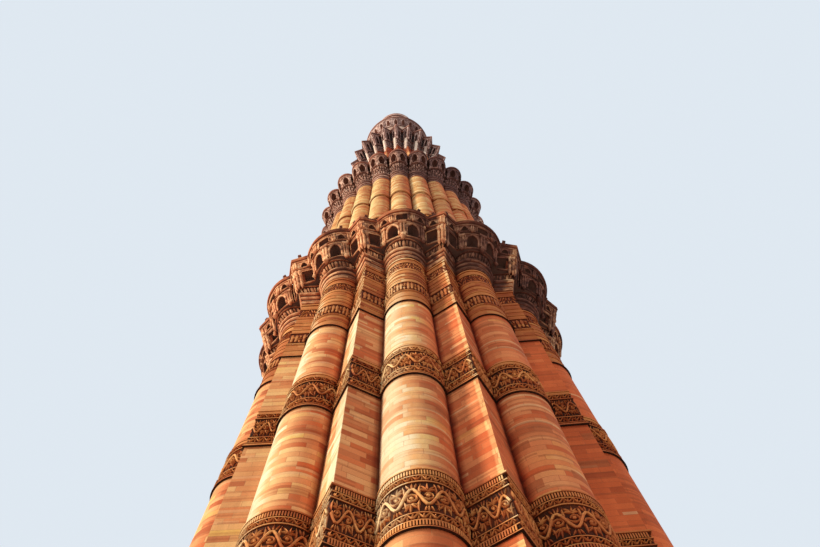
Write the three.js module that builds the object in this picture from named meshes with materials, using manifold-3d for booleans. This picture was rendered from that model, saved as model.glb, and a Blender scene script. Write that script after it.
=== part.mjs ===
// A tapering fluted stone minaret of five storeys, as a scale model at 1:2.
// Lengths are given in metres of the full-size tower and drawn at 500 mm to the metre.
// The origin is at the middle of the plinth's underside, +Z is up, and -Y is the front.
import * as THREE from "three";
import { mergeVertices } from "three/addons/utils/BufferGeometryUtils.js";
import Module from "manifold-3d";

const wasm = await Module();
wasm.setup();

const METRE = 500; // millimetres of the model for one metre of the tower
const JOINT = 0.0006; // air between a band and the wall behind it
const NARROWING = 0.9997; // share of an eighth of the wall that one length of it takes, which leaves a joint
const FLUTES = 24;
const CIRCLE_SIDES = 32;
const STEP = (2 * Math.PI) / FLUTES;
const FRONT = -Math.PI / 2;
const degrees = THREE.MathUtils.degToRad;

// Levels above the ground
const PLINTH_TOP = 0.61;
const FIRST_WALL_TOP = 26.83;
const FIRST_GALLERY = 29.7;
const SECOND_BAND = 38.0;
const SECOND_WALL_TOP = 41.75;
const SECOND_GALLERY = 44.75;
const THIRD_WALL_TOP = 54.0;
const THIRD_GALLERY = 56.9;
const FOURTH_BAND = 60.2;
const FOURTH_BAND_TOP = 61.0;
const FOURTH_WALL_TOP = 63.0;
const FOURTH_GALLERY = 64.6;
const FIFTH_WALL_TOP = 69.9;
const ROOF_TOP = 70.5;
const STUMP_TOP = 72.57;

// Outer radii
const PLINTH_RADIUS = 7.19;
const ROOF_RADIUS = 1.6;
const STUMP_RADIUS = 0.8;
const straight = (low, atLow, high, atHigh) => (level) =>
  THREE.MathUtils.mapLinear(level, low, high, atLow, atHigh);
const firstWall = straight(PLINTH_TOP, 7.15, FIRST_WALL_TOP, 5.16);
const secondWall = straight(FIRST_GALLERY, 4.7, SECOND_WALL_TOP, 3.97);
const thirdWall = straight(SECOND_GALLERY, 3.25, THIRD_WALL_TOP, 2.7);
const fourthWall = straight(THIRD_GALLERY, 2.3, FOURTH_WALL_TOP, 2.05);
const fifthWall = straight(FOURTH_GALLERY, 1.75, FIFTH_WALL_TOP, 1.48);

// The space inside, eight-sided and tapering with the tower, given to its corners
const VOID_CORNER = degrees(21.75);
const insideCorner = straight(PLINTH_TOP, 4.45, FIFTH_WALL_TOP, 0.92);

// Carved bands stand proud of the wall
const BAND_PROJECTION = 0.09;
const SHALLOW_PROJECTION = 0.05;
const FIRST_STOREY_BANDS = {
  base_band: [1.5, 2.5],
  second_band: [6.3, 7.9],
  third_band: [11.9, 13.68],
  fourth_band: [17.71, 19.45],
  fifth_band: [22.65, 24.95],
  sixth_band: [24.95, FIRST_WALL_TOP],
};
const SECOND_LOW_BAND = [33.0, 34.2];
const THIRD_WALL_BAND = [49.4, 50.6];
const FIFTH_WALL_BAND = [67.4, 68.1];

// Doorways are on the far side, one at the ground and one at each gallery
const GROUND_DOOR = { width: 1.1, height: 2.4 };
const GALLERY_DOOR = { width: 0.8, height: 1.9 };
const TOP_DOOR = { width: 0.56, height: 1.7 };
const LINTEL = PLINTH_TOP + GROUND_DOOR.height;
const REACH = 8; // past every outer face

// Plans at unit radius. A round flute is an arc about a centre on its own axis, an angular one is a corner.
const alternate = (flute) => flute % 2 === 0;
const everyRound = () => true;
const everyAngular = () => false;

function polar(radius, angle) {
  return new THREE.Vector2(radius * Math.cos(angle), radius * Math.sin(angle));
}

// The points of one flute, from its first groove up to the next flute's
function flutePoints(plan, flute) {
  const middle = FRONT + flute * STEP;
  if (!plan.isRound(flute)) {
    const half = plan.isRound(flute + 1) ? STEP - plan.roundHalf : STEP / 2;
    return [polar(plan.valley, middle - half), polar(1, middle)];
  }
  const points = [];
  for (let edge = 0; edge < plan.edges; edge++) {
    const turn = plan.sweep * ((2 * edge) / plan.edges - 1);
    points.push(polar(plan.centre, middle).add(polar(1 - plan.centre, middle + turn)));
  }
  return points;
}

function fluted(isRound, roundHalf, centre, groove, edges) {
  const rise = Math.sqrt((1 - centre) ** 2 - (centre * Math.sin(roundHalf)) ** 2);
  const valley = groove ?? centre * Math.cos(roundHalf) + rise;
  const sweep = Math.acos((valley * Math.cos(roundHalf) - centre) / (1 - centre));
  const plan = { isRound, roundHalf, centre, valley, sweep, edges };
  plan.points = Array.from({ length: FLUTES }, (_, flute) => flutePoints(plan, flute)).flat();
  return plan;
}

function regular(sides) {
  const points = Array.from({ length: sides }, (_, i) => polar(1, FRONT + (i * 2 * Math.PI) / sides));
  return { points, valley: 1 };
}

const FIRST_PLAN = fluted(alternate, degrees(8.25), 0.87, undefined, 4);
const NICHE_PLAN = fluted(alternate, degrees(9), 0.815, undefined, 4);
const SLAB_PLAN = fluted(alternate, degrees(9.5), 0.777, undefined, 4);
const ROUND_PLAN = fluted(everyRound, STEP / 2, 0.8807, undefined, 4);
const ANGULAR_PLAN = fluted(everyAngular, STEP / 2, 0.8807, 0.89, 1);
const CIRCLE_PLAN = regular(CIRCLE_SIDES);
const STRAIGHT_PLAN = regular(FLUTES);

const finish = (color, roughness) => () => new THREE.MeshStandardMaterial({ color, roughness, metalness: 0 });
const sandstone = finish("#c47a4a", 0.88);
const carved = finish("#9c5b33", 0.9);
const darkCarved = finish("#7d4630", 0.92);
const paleStone = finish("#e3c08c", 0.85);
const duskyStone = finish("#8d5745", 0.9);

// The courses of each gallery from its foot up: the level each ends at, and its outer radii at foot and head
const RING_STEPS = 4;
const FIRST_COURSES = {
  first_rings: { top: 27.6, radii: [5.16, 5.16], bulge: 0.2, plan: FIRST_PLAN, stone: carved },
  first_leaf_course: { top: 28.0, radii: [5.25, 5.5], plan: FIRST_PLAN, stone: carved },
  first_niche_course: { top: 28.95, radii: [5.55, 5.8], plan: NICHE_PLAN, stone: darkCarved },
  first_upper_niches: { top: 29.45, radii: [5.84, 5.98], plan: SLAB_PLAN, stone: darkCarved },
  first_gallery_slab: { top: FIRST_GALLERY, radii: [6.08, 6.08], plan: SLAB_PLAN, stone: darkCarved },
};
const SECOND_COURSES = {
  second_rings: { top: 42.45, radii: [3.97, 3.97], bulge: 0.16, plan: ROUND_PLAN, stone: carved },
  second_leaf_course: { top: 43.3, radii: [4.06, 4.3], plan: ROUND_PLAN, stone: carved },
  second_niche_course: { top: 44.45, radii: [4.36, 4.6], plan: ROUND_PLAN, stone: darkCarved },
  second_gallery_slab: { top: SECOND_GALLERY, radii: [4.68, 4.68], plan: ROUND_PLAN, stone: darkCarved },
};
const THIRD_COURSES = {
  third_rings: { top: 54.5, radii: [2.7, 2.7], bulge: 0.12, plan: ANGULAR_PLAN, stone: duskyStone },
  third_leaf_course: { top: 55.1, radii: [2.74, 2.95], plan: ANGULAR_PLAN, stone: duskyStone },
  third_niche_course: { top: 56.6, radii: [3.0, 3.42], plan: ANGULAR_PLAN, stone: duskyStone },
  third_gallery_slab: { top: THIRD_GALLERY, radii: [3.52, 3.52], plan: ANGULAR_PLAN, stone: duskyStone },
};
const FOURTH_COURSES = {
  fourth_niche_course: { top: 64.35, radii: [2.1, 2.44], plan: CIRCLE_PLAN, stone: duskyStone },
  fourth_gallery_slab: { top: FOURTH_GALLERY, radii: [2.52, 2.52], plan: CIRCLE_PLAN, stone: duskyStone },
};

function voidPoints() {
  const sides = [0, 1, 2, 3].map((quarter) => FRONT + quarter * (Math.PI / 2));
  return sides.flatMap((side) => [polar(1, side - VOID_CORNER), polar(1, side + VOID_CORNER)]);
}

// Inner points are drawn at this share of the unit, near their true place, and told from the outer by radius
const INNER_SHARE = 0.62;
const INNER_LIMIT = 0.7;
const inward = (points) => points.map((point) => point.clone().multiplyScalar(INNER_SHARE));

// Extrudes a plan from level to level, then sets each point's distance from the axis by its level
function raise(shape, bottom, top, outer, inner = outer, steps = 1) {
  const settings = { depth: top - bottom, steps, bevelEnabled: false };
  const geometry = new THREE.ExtrudeGeometry(shape, settings);
  const position = geometry.attributes.position;
  for (let i = 0; i < position.count; i++) {
    const x = position.getX(i);
    const y = position.getY(i);
    const level = bottom + position.getZ(i);
    const inside = Math.hypot(x, y) < INNER_LIMIT;
    const scale = METRE * (inside ? inner(level) / INNER_SHARE : outer(level));
    position.setXYZ(i, x * scale, y * scale, level * METRE);
  }
  geometry.computeVertexNormals();
  return geometry;
}

function hollow(outerPoints, holePoints) {
  const shape = new THREE.Shape(outerPoints);
  shape.holes.push(new THREE.Path(inward(holePoints)));
  return shape;
}

// A course of the whole wall, from the space inside to the outer face
function course(plan, bottom, top, outer, steps) {
  return raise(hollow(plan.points, voidPoints()), bottom, top, outer, insideCorner, steps);
}

function solid(geometry) {
  const bare = geometry.clone();
  bare.deleteAttribute("normal");
  bare.deleteAttribute("uv");
  const merged = mergeVertices(bare.index ? bare.toNonIndexed() : bare);
  const vertProperties = new Float32Array(merged.attributes.position.array);
  const triVerts = new Uint32Array(merged.index.array);
  return new wasm.Manifold(new wasm.Mesh({ numProp: 3, vertProperties, triVerts }));
}

function cut(geometry, tool) {
  const mesh = solid(geometry).subtract(solid(tool)).getMesh();
  const result = new THREE.BufferGeometry();
  result.setAttribute("position", new THREE.BufferAttribute(mesh.vertProperties, 3));
  result.setIndex(new THREE.BufferAttribute(mesh.triVerts, 1));
  result.computeVertexNormals();
  return result;
}

// A solid prism of one radius
function prism(points, bottom, top, radius) {
  return raise(new THREE.Shape(points), bottom, top, () => radius);
}

// A thin carved band around a wall
function band(plan, [bottom, top], wall) {
  const shape = new THREE.Shape(plan.points);
  const outer = raise(shape, bottom, top, (level) => wall(level) + BAND_PROJECTION);
  const inner = raise(shape, bottom - 1, top + 1, (level) => wall(level) + JOINT);
  return cut(outer, inner);
}

// Moves a point a little towards a line out from the axis
function narrowed(point, middle) {
  const turned = point.clone().rotateAround(new THREE.Vector2(), -middle);
  return polar(point.length(), middle + NARROWING * Math.atan2(turned.y, turned.x));
}

// An eighth of the first storey's wall: three flutes outside, one flat face inside
function wallEighth(eighth, bottom, top) {
  const flutes = [-1, 0, 1].map((side) => (eighth * 3 + side + FLUTES) % FLUTES);
  const middle = FRONT + (eighth * Math.PI) / 4;
  const half = FIRST_PLAN.isRound(flutes[1]) ? VOID_CORNER : Math.PI / 4 - VOID_CORNER;
  const points = flutes.flatMap((flute) => flutePoints(FIRST_PLAN, flute));
  points.push(polar(FIRST_PLAN.valley, middle + half));
  points.push(...inward([polar(1, middle + half), polar(1, middle - half)]));
  const shape = new THREE.Shape(points.map((point) => narrowed(point, middle)));
  return raise(shape, bottom, top, firstWall, insideCorner);
}

function block(width, depth, height, x, y, z) {
  const geometry = new THREE.BoxGeometry(width * METRE, depth * METRE, height * METRE);
  return geometry.translate(x * METRE, y * METRE, z * METRE);
}

// Cuts a gallery doorway through the far side of a storey's wall
function withDoorway(geometry, sill, door) {
  const tall = door.height + 1;
  return cut(geometry, block(door.width, REACH, tall, 0, REACH / 2, sill + door.height - tall / 2));
}

const tower = new THREE.Group();
function add(name, geometry, stone) {
  const mesh = new THREE.Mesh(geometry, stone());
  mesh.name = name;
  tower.add(mesh);
}

// Two rounded rings one above the other, as a radius by level
function doubleRing(bottom, top, base, bulge) {
  return (level) => base + bulge * Math.abs(Math.sin((2 * Math.PI * (level - bottom)) / (top - bottom)));
}

function addCourses(courses, foot) {
  let bottom = foot;
  for (const [name, { top, radii, bulge, plan, stone }] of Object.entries(courses)) {
    const [low, high] = radii;
    const outer = bulge ? doubleRing(bottom, top, low, bulge) : straight(bottom, low, top, high);
    add(name, course(plan, bottom, top, outer, bulge ? RING_STEPS : 1), stone);
    bottom = top;
  }
}

// Ground: a low plinth of twenty-four sides, which is the floor inside as well
add("plinth", prism(STRAIGHT_PLAN.points, 0, PLINTH_TOP, PLINTH_RADIUS), sandstone);

// First storey: eight lengths of wall, the far one split at and over the doorway
const DOOR_EIGHTH = 4;
for (let eighth = 0; eighth < 8; eighth++) {
  if (eighth === DOOR_EIGHTH) continue;
  add(`first_wall_${eighth + 1}`, wallEighth(eighth, PLINTH_TOP, FIRST_WALL_TOP), sandstone);
}
add("first_wall_over_door", wallEighth(DOOR_EIGHTH, LINTEL, FIRST_WALL_TOP), sandstone);
for (const [name, side] of [["door_jamb_east", -1], ["door_jamb_west", 1]]) {
  const height = GROUND_DOOR.height + 2;
  const middle = side * (GROUND_DOOR.width / 2 - REACH / 2);
  const away = block(REACH, 2 * REACH, height, middle, REACH, PLINTH_TOP + height / 2 - 1);
  add(name, cut(wallEighth(DOOR_EIGHTH, PLINTH_TOP, LINTEL), away), sandstone);
}
const doorwayGap = block(GROUND_DOOR.width, REACH, 2, 0, REACH, LINTEL - 1);
for (const [name, levels] of Object.entries(FIRST_STOREY_BANDS)) {
  const ring = band(FIRST_PLAN, levels, firstWall);
  add(name, levels[0] < LINTEL ? cut(ring, doorwayGap) : ring, carved);
}
addCourses(FIRST_COURSES, FIRST_WALL_TOP);

// Second storey: round flutes throughout, with a low band and a tall one
const secondWallBody = course(ROUND_PLAN, FIRST_GALLERY, SECOND_BAND, secondWall);
const tallBand = (level) => secondWall(level) + SHALLOW_PROJECTION;
add("second_wall", withDoorway(secondWallBody, FIRST_GALLERY, GALLERY_DOOR), paleStone);
add("second_low_band", band(ROUND_PLAN, SECOND_LOW_BAND, secondWall), carved);
add("second_tall_band", course(ROUND_PLAN, SECOND_BAND, SECOND_WALL_TOP, tallBand), paleStone);
addCourses(SECOND_COURSES, SECOND_WALL_TOP);

// Third storey: angular flutes throughout
const thirdWallBody = course(ANGULAR_PLAN, SECOND_GALLERY, THIRD_WALL_TOP, thirdWall);
add("third_wall", withDoorway(thirdWallBody, SECOND_GALLERY, GALLERY_DOOR), sandstone);
add("third_wall_band", band(ANGULAR_PLAN, THIRD_WALL_BAND, thirdWall), carved);
addCourses(THIRD_COURSES, THIRD_WALL_TOP);

// Fourth storey: a plain round wall with a darker band
const fourthWallBody = course(CIRCLE_PLAN, THIRD_GALLERY, FOURTH_BAND, fourthWall);
const fourthBand = (level) => fourthWall(level) + SHALLOW_PROJECTION;
add("fourth_wall", withDoorway(fourthWallBody, THIRD_GALLERY, GALLERY_DOOR), paleStone);
add("fourth_wall_band", course(CIRCLE_PLAN, FOURTH_BAND, FOURTH_BAND_TOP, fourthBand), sandstone);
add("fourth_upper_wall", course(CIRCLE_PLAN, FOURTH_BAND_TOP, FOURTH_WALL_TOP, fourthWall), paleStone);
addCourses(FOURTH_COURSES, FOURTH_WALL_TOP);

// Fifth storey, closed by a roof slab with the stump of a lost cupola on it
const fifthWallBody = course(CIRCLE_PLAN, FOURTH_GALLERY, FIFTH_WALL_TOP, fifthWall);
add("fifth_wall", withDoorway(fifthWallBody, FOURTH_GALLERY, TOP_DOOR), duskyStone);
add("fifth_wall_band", band(CIRCLE_PLAN, FIFTH_WALL_BAND, fifthWall), sandstone);
add("roof", prism(CIRCLE_PLAN.points, FIFTH_WALL_TOP, ROOF_TOP, ROOF_RADIUS), duskyStone);
add("roof_stump", prism(CIRCLE_PLAN.points, ROOF_TOP, STUMP_TOP, STUMP_RADIUS), duskyStone);

export default tower;
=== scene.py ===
"""Looks of a fluted stone minaret at 1:2. Lengths are in metres at full size until a mesh is made."""

import math

import bpy
import numpy as np
from mathutils import Matrix, Vector


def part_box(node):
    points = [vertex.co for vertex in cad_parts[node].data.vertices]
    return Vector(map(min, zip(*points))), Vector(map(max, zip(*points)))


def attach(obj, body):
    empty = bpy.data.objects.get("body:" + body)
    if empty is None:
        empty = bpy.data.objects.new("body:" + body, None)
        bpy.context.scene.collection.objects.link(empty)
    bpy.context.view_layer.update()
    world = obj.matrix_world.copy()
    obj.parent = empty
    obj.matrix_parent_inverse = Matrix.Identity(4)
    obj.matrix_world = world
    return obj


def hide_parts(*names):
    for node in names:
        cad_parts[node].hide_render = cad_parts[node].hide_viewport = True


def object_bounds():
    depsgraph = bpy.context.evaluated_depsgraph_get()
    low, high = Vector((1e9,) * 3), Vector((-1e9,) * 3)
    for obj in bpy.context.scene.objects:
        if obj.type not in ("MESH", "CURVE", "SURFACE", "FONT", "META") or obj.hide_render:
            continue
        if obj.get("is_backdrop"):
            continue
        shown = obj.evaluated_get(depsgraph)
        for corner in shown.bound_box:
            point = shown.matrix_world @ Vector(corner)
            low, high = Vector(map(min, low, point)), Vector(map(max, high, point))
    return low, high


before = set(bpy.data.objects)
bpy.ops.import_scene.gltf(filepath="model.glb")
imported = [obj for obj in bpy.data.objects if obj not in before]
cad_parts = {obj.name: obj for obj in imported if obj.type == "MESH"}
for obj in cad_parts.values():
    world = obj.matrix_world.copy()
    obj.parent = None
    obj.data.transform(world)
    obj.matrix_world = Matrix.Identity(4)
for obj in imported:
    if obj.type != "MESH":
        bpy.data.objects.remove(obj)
cad_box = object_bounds()

SCALE = 0.5
FLUTES = 24
STEP = 2 * math.pi / FLUTES
FRONT = -math.pi / 2


def levels(*nodes):
    """The foot of the first solid and the head of the last, to the millimetre."""
    return round(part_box(nodes[0])[0][2] / SCALE, 3), round(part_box(nodes[-1])[1][2] / SCALE, 3)


def straight(at_low, at_high, *nodes):
    """A radius that changes evenly from the foot of the first solid to the head of the last."""
    low, high = levels(*nodes)
    return lambda level: at_low + (level - low) * (at_high - at_low) / (high - low)


def upright(radius):
    """The same radius at every level."""
    return lambda level: radius


first_wall = straight(7.15, 5.16, "first_wall_1")
second_wall = straight(4.7, 3.97, "second_wall", "second_tall_band")
third_wall = straight(3.25, 2.7, "third_wall")
fourth_wall = straight(2.3, 2.05, "fourth_wall", "fourth_upper_wall")
fifth_wall = straight(1.75, 1.48, "fifth_wall")
inside_corner = straight(4.45, 0.92, "first_wall_1", "fifth_wall")
fourth_band = straight(2.35, 2.1, "fourth_wall", "fourth_upper_wall")
third_rib = straight(2.74, 2.96, "third_rings", "third_leaf_course")

# How pale the stone is on the left and on the right of each flute, from the front one round to the right:
# partly the stone's own tone, partly painted sunlight on the left sides and painted shade on the right sides
# and on the flutes to the right. On some angular flutes a painted sunlit strip stands left of the ridge: how
# pale it is, and its share of the flute.
FIRST_PALE_AND_SUNLIT = (
    [1.1, 0.13, 0.12, 0, 0, 0, 0.25, 0.1, 0.5, 0.2, 0.7, 0.3,
     0.5, 0.2, 0.6, 0.25, 0.5, 0.2, 0.6, 0.25, 1, 0.6, 1.25, 0.7],
    [0.08, 0.02, 0.05, 0, 0, 0, 0.05, 0, 0.1, 0.05, 0.2, 0.1,
     0.15, 0.05, 0.2, 0.05, 0.1, 0, 0.15, 0.05, 0.3, 0.5, 0.22, 0.2],
    {1: (0.55, 0.05), 9: (0.6, 0.05), 13: (0.75, 0.05), 17: (0.6, 0.2), 23: (1.3, 0.2)},
)
CARVED_PALE_AND_SUNLIT = (*FIRST_PALE_AND_SUNLIT[:2], {**FIRST_PALE_AND_SUNLIT[2], 1: (1.1, 0.06)})
UPPER_PALE_AND_SUNLIT = (
    [0.9, 0.8, 0.45, 0.3, 0.2, 0.3, 0.5, 0.6, 0.7, 0.6, 0.8, 0.7,
     0.8, 0.7, 0.8, 0.75, 0.8, 0.8, 0.9, 0.85, 1, 1.1, 1.1, 1.05],
    [0.1, 0.1, 0.05, 0.05, 0.05, 0.1, 0.3, 0.3, 0.4, 0.35, 0.5, 0.4,
     0.5, 0.4, 0.5, 0.45, 0.5, 0.5, 0.55, 0.5, 0.45, 0.4, 0.35, 0.2],
    {},
)
# The galleries' pale share brings in their sunlit tones: painted sunlight on the left and the front, painted
# shade on the right.
GALLERY_SUNLIT = (
    [0.6, 0.2, 0.05, 0, 0, 0.1, 0.2, 0.3, 0.3, 0.3, 0.4, 0.3,
     0.4, 0.4, 0.5, 0.5, 0.6, 0.6, 0.7, 0.9, 1, 1, 0.8, 0.95],
    [0.03, 0.05, 0, 0, 0, 0.1, 0.1, 0.1, 0.2, 0.1, 0.2, 0.1,
     0.2, 0.1, 0.2, 0.2, 0.3, 0.3, 0.4, 0.5, 0.7, 0.7, 0.25, 0.3],
    {1: (0.95, 0.14), 3: (0.3, 0.14), 21: (1, 0.2), 23: (1, 0.2)},
)
# The third storey's angular flutes: a little paler on their left sides, and a painted sunlit strip left of
# every ridge.
ANGULAR_PALE_AND_SUNLIT = ([0.2] * FLUTES, [0] * FLUTES, {flute: (0.5, 0.12) for flute in range(FLUTES)})
# The ribs' share of their sunlit tones: painted sunlight, most at the front and on the left.
RIB_SUNLIT = (
    [1, 1, 0.85, 0.4, 0.3, 0.4, 0.5, 0.6, 0.6, 0.6, 0.7, 0.6,
     0.7, 0.6, 0.6, 0.6, 0.7, 0.7, 0.8, 0.9, 0.9, 0.9, 0.9, 1],
    [0] * FLUTES,
    {},
)
# Painted sunlit strips beside the ridges: the default of none, and how soft a strip's edge is.
NO_STRIP = (0, 0.1)
STRIP_EDGE = 0.03
# Painted shade in the grooves between flutes: how dark it gets, and the share of a flute's width that it
# reaches in from each groove.
GROOVE_SHADE = 0.75
GROOVE_SHARE = 0.1
CORNER_SHARES = (0, 0.05, 0.1, 0.27, 0.3, 0.42, 0.45, 0.5, 0.51, 0.7, 0.9, 0.95, 1)
LOW_REDDENING = 0.45
RED_BELOW = 11.2
RED_FADE = 2.2


def smooth(value):
    """A soft rise from 0 to 1."""
    value = np.clip(value, 0, 1)
    return value * value * (3 - 2 * value)


def bleached(level):
    """The lowest stones are redder."""
    return 1 - LOW_REDDENING * (1 - smooth((np.asarray(level, float) - RED_BELOW) / RED_FADE))


def turned(points, angle):
    """Flat points turned about the axis."""
    c, s = math.cos(angle), math.sin(angle)
    return points @ np.array([[c, s], [-s, c]])


class Plan:
    """The outline at unit radius: round flutes are arcs about a centre on their own axis, angular ones are
    corners. The columns are the steps along a round flute and along an angular one, where None stands for
    CORNER_SHARES, and the degrees are half of what a round flute takes up."""

    def __init__(self, kind, centre, columns, pales, degrees=None, valley=None):
        self.kind, self.centre, self.columns, self.pales = kind, centre, columns, pales
        self.half = math.radians(degrees) if degrees else STEP / 2
        rise = math.sqrt(max((1 - centre) ** 2 - (centre * math.sin(self.half)) ** 2, 0))
        self.valley = valley or centre * math.cos(self.half) + rise
        corner_half = STEP / 2 if kind == "angular" else STEP - self.half
        self.corner = self.valley * np.array([math.cos(corner_half), math.sin(corner_half)])
        face = np.array([1 - self.corner[0], self.corner[1]])
        self.side = float(np.hypot(*face))
        self.normal = face[::-1] / self.side

    def is_round(self, flute):
        return self.kind == "round" or (self.kind == "alternate" and flute % 2 == 0)

    def groove(self, radius, out, is_round):
        """Where a flute meets the next one once the face stands out, seen from the flute's own axis."""
        middle, reach = self.centre * radius, (1 - self.centre) * radius + out
        along, across = math.cos(STEP / 2), math.sin(STEP / 2)
        if self.kind == "round":
            distance = middle * along + math.sqrt(reach ** 2 - (middle * across) ** 2)
            return distance * along, distance * across
        if self.kind == "angular":
            distance = (radius * self.normal[0] + out) / (along * self.normal[0] + across * self.normal[1])
            return distance * along, distance * across
        ridge = radius * np.array([math.cos(STEP), math.sin(STEP)])
        valley = radius * self.valley * np.array([math.cos(self.half), math.sin(self.half)])
        run = (ridge - valley) / np.linalg.norm(ridge - valley)
        facing = np.array([run[1], -run[0]])
        facing *= math.copysign(1, facing @ ridge)
        start = valley + out * facing - np.array([middle, 0])
        slope = start @ run
        point = valley + out * facing + (math.sqrt(slope ** 2 - start @ start + reach ** 2) - slope) * run
        if is_round:
            return point[0], point[1]
        point = turned(point, -STEP)
        return point[0], -point[1]

    def shares(self, flute):
        """Where the columns of a flute stand, from its left groove to its right one."""
        columns = self.columns[0 if self.is_round(flute) else 1]
        return np.linspace(0, 1, columns + 1) if columns else np.array(CORNER_SHARES)

    def flute_line(self, flute, radius, out):
        """The outline of one flute from groove to groove, seen from its own axis."""
        x, y = self.groove(radius, out, self.is_round(flute))
        share = 2 * self.shares(flute) - 1
        if self.is_round(flute):
            middle, reach = self.centre * radius, (1 - self.centre) * radius + out
            turn = share * math.atan2(y, x - middle)
            return np.stack([middle + reach * np.cos(turn), reach * np.sin(turn)], 1)
        ridge = radius + out / self.normal[0]
        return np.stack([ridge + np.abs(share) * (x - ridge), share * y], 1)

    def ring(self, radius, out=0):
        """The whole outline, closed by its first point. Sunk faces keep the shape and get smaller."""
        radius, out = radius + min(out, 0), max(out, 0)
        lines = [turned(self.flute_line(k, radius, out)[:-1], FRONT + k * STEP) for k in range(FLUTES)]
        ring = np.concatenate(lines)
        return np.vstack([ring, ring[:1]])

    def rows(self, wall, profile):
        """A ring for each row of a profile: its level, how far it stands out, and how much painted shade and
        grime it gets.
        """
        return [(self.ring(wall(level), out), level, hollow) for level, out, hollow in profile]

    def pale_and_groove_shade(self):
        """How pale each point of the ring is, and how much painted shade the grooves beside it get."""
        pale, darkening = [], []
        fluted = 1 if self.centre else 0
        for flute in range(FLUTES):
            share = self.shares(flute)[:-1]
            pale.append(self.pale(flute, fluted * share))
            clear = np.clip(np.minimum(share, 1 - share) / GROOVE_SHARE, 0, 1)
            darkening.append(fluted * GROOVE_SHADE * (1 - clear))
        pale, darkening = np.concatenate(pale), np.concatenate(darkening)
        return np.append(pale, pale[0]), np.append(darkening, darkening[0])

    def pale(self, flute, share):
        """How pale the stone is from a flute's left to its right, with the painted sunlit strip beside the
        ridge: partly the stone's own tone, partly painted sunlight on the left and painted shade on the
        right.
        """
        left, right, strips = self.pales
        if self.is_round(flute):
            return left[flute] + (right[flute] - left[flute]) * smooth((share - 0.22) / 0.6)
        strength, width = strips.get(flute, NO_STRIP)
        strip = strength * smooth((share - 0.5 + width + STRIP_EDGE) / STRIP_EDGE)
        return np.where(share <= 0.5, np.maximum(left[flute], strip), right[flute])

    def faces(self):
        """Every round flute, and both sides of every angular one."""
        for flute in range(FLUTES):
            for side in ((0,) if self.is_round(flute) else (-1, 1)):
                yield Face(self, flute, side)


class Face:
    """One round flute, or one side of an angular flute. Carving is laid on it by its share across, its level
    and how far it stands out."""

    def __init__(self, plan, flute, side):
        self.plan, self.flute, self.side = plan, flute, side
        if side == 0:
            x, y = plan.groove(1, 0, True)
            self.sweep = math.atan2(y, x - plan.centre)

    def width(self, radius):
        unit = 2 * self.sweep * (1 - self.plan.centre) if self.side == 0 else self.plan.side
        return unit * radius

    def from_ridge(self, distance, width):
        """The share across at a distance from the ridge, or from the middle of a round flute."""
        if self.side == 0:
            return 0.5 + distance / width
        return distance / width if self.side > 0 else 1 - distance / width

    def place(self, share, level, out, wall):
        if self.side == 0:
            turn = (2 * share - 1) * self.sweep
            normal = np.stack([np.cos(turn), np.sin(turn)], 1)
            flat = (1 - self.plan.centre) * normal + np.array([self.plan.centre, 0])
        else:
            far = share if self.side > 0 else 1 - share
            corner = self.plan.corner
            flat = np.stack([1 + far * (corner[0] - 1), self.side * far * corner[1]], 1)
            normal = np.tile(self.plan.normal * np.array([1, self.side]), (len(share), 1))
        radius = wall(level) * np.ones(len(share))
        flat = flat * radius[:, None] + normal * np.reshape(out, (-1, 1))
        return np.column_stack([turned(flat, FRONT + self.flute * STEP), level])


FIRST = Plan("alternate", 0.87, (20, None), FIRST_PALE_AND_SUNLIT, 8.25)
FIRST_CARVED = Plan("alternate", 0.87, (20, None), CARVED_PALE_AND_SUNLIT, 8.25)
FIRST_MOULDED = Plan("alternate", 0.87, (20, 8), GALLERY_SUNLIT, 8.25)
NICHE = Plan("alternate", 0.815, (14, 8), GALLERY_SUNLIT, 9)
SLAB = Plan("alternate", 0.777, (14, 8), GALLERY_SUNLIT, 9.5)
ROUND = Plan("round", 0.8807, (14, 0), UPPER_PALE_AND_SUNLIT)
ROUND_MOULDED = Plan("round", 0.8807, (14, 0), GALLERY_SUNLIT)
ANGULAR = Plan("angular", 0.8807, (0, 10), ANGULAR_PALE_AND_SUNLIT, valley=0.89)
ANGULAR_RIBS = Plan("angular", 0.8807, (0, 10), RIB_SUNLIT, valley=0.89)
CIRCLE = Plan("round", 0, (4, 0), UPPER_PALE_AND_SUNLIT, valley=1)
CIRCLE_MOULDED = Plan("round", 0, (4, 0), GALLERY_SUNLIT, valley=1)


class Tile:
    """A carved pattern: points across, up and out in metres, faces, and how much painted shade and grime
    each point gets.
    """

    def __init__(self, points, faces, hollow):
        self.points, self.faces, self.hollow = np.asarray(points, float), faces, np.asarray(hollow, float)

    def moved(self, across=0, up=0, out=0):
        return Tile(self.points + np.array([across, up, out]), self.faces, self.hollow)

    def stretched(self, share):
        return Tile(self.points * np.array([share, 1, 1]), self.faces, self.hollow)

    # Less painted shade and grime, by a share.
    def less_shaded(self, share):
        return Tile(self.points, self.faces, self.hollow * share)

    # At least this much painted shade and grime.
    def shaded_at_least(self, least):
        return Tile(self.points, self.faces, np.maximum(self.hollow, least))


def joined(tiles):
    """Several tiles as one."""
    tiles = list(tiles)
    starts = np.cumsum([0] + [len(t.points) for t in tiles[:-1]])
    faces = [f + start for t, start in zip(tiles, starts) for f in t.faces]
    return Tile(np.concatenate([t.points for t in tiles]), faces, np.concatenate([t.hollow for t in tiles]))


def grid_faces(rows, columns):
    """Quads between neighbouring points of rows and columns."""
    first = (np.arange(rows - 1)[:, None] * columns + np.arange(columns - 1)).ravel()
    return np.stack([first, first + 1, first + columns + 1, first + columns], 1)


BOLD = ((-0.5, 0), (-0.4, 0.78), (0, 1), (0.4, 0.78), (0.5, 0))
FINE = ((-0.5, 0), (0, 1), (0.5, 0))
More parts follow.
